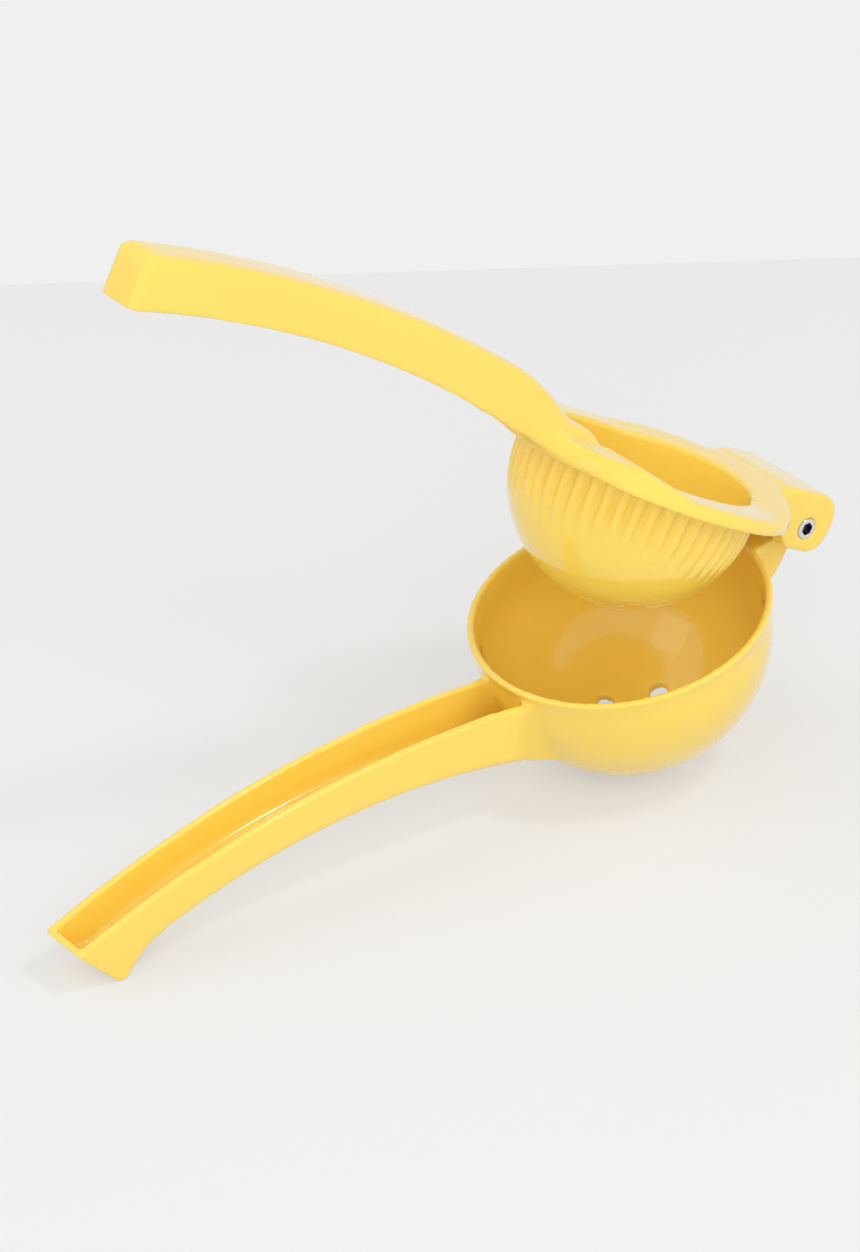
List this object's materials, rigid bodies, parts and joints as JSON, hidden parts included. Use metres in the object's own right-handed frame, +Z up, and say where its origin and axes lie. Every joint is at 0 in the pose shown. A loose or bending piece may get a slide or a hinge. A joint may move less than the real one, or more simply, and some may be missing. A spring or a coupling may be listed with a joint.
{
  "type": "hinged lemon squeezer",
  "caption": "Two-handled citrus squeezer: a fluted hollow press cup on a lever handle swings on a side hinge into a drained bowl with its own handle.",
  "frame": {"origin": "middle of the small flat land under the bowl that the squeezer stands on", "axes": "+Z up, +X from the handles' ends towards the hinge, +Y along the hinge pin; drawn standing on a table with the upper jaw swung open"},
  "size_m": [0.223, 0.077, 0.181],
  "materials": {
    "enamel": "glossy yellow enamel on cast aluminium",
    "steel": "turned and plated",
    "nylon": "plain moulded"
  },
  "bodies": {
    "lower": {"lower_jaw": "enamel", "hinge_washer_near": "nylon", "hinge_washer_far": "nylon"},
    "upper": {"upper_jaw": "enamel", "hinge_barrel": "steel", "hinge_screw": "steel"}
  },
  "joints": [
    {"name": "jaw_hinge", "type": "hinge", "parent": "lower", "child": "upper", "pos_m": [0.04671, 0, 0.05441], "axis": [0, 1, 0], "range_deg": [-42.2, 54.6]}
  ]
}
